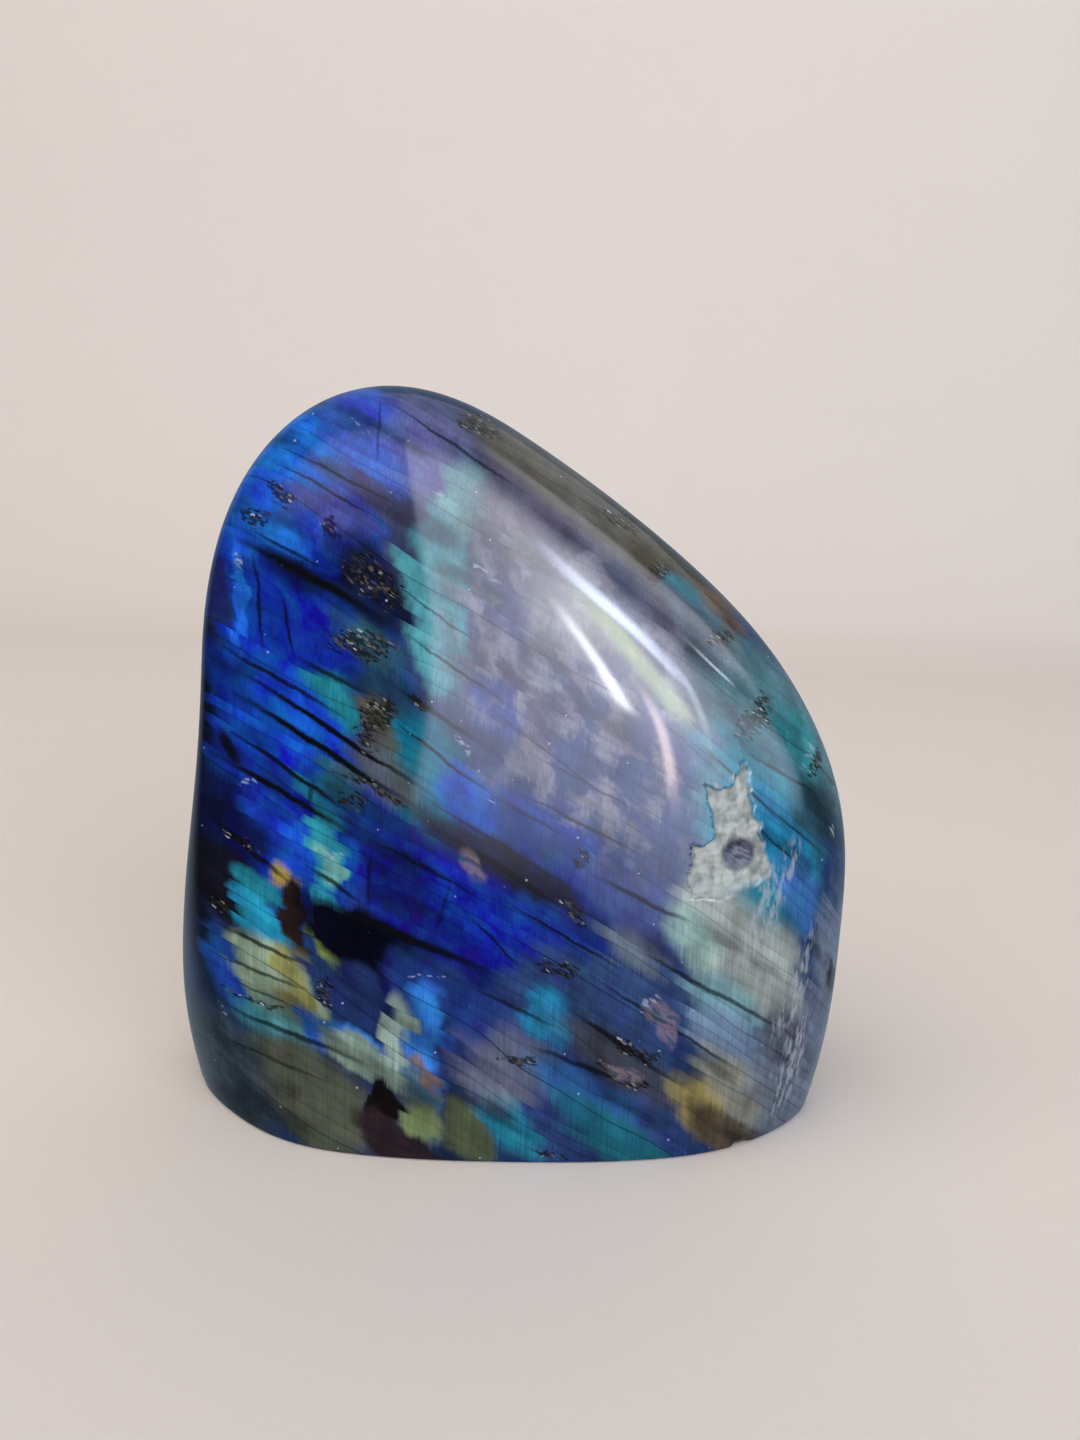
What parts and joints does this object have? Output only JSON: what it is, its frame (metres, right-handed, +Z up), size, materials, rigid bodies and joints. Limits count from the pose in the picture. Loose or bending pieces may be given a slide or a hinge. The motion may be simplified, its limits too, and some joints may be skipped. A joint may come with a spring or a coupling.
{
  "type": "polished labradorite freeform",
  "caption": "Polished labradorite freeform with a leaning pointed outline, broad gently domed faces, blue flash and a sawn flat to stand on.",
  "frame": {"origin": "centre of the bounding box's bottom, on the sawn flat", "axes": "+Z up, along the height; +Y through the thickness, from the front face to the back; +X to the right seen from the front"},
  "size_m": [0.1187, 0.0494, 0.1245],
  "materials": {
    "polished_labradorite": "polished"
  },
  "bodies": {
    "root": {"labradorite": "polished_labradorite"}
  },
  "joints": []
}
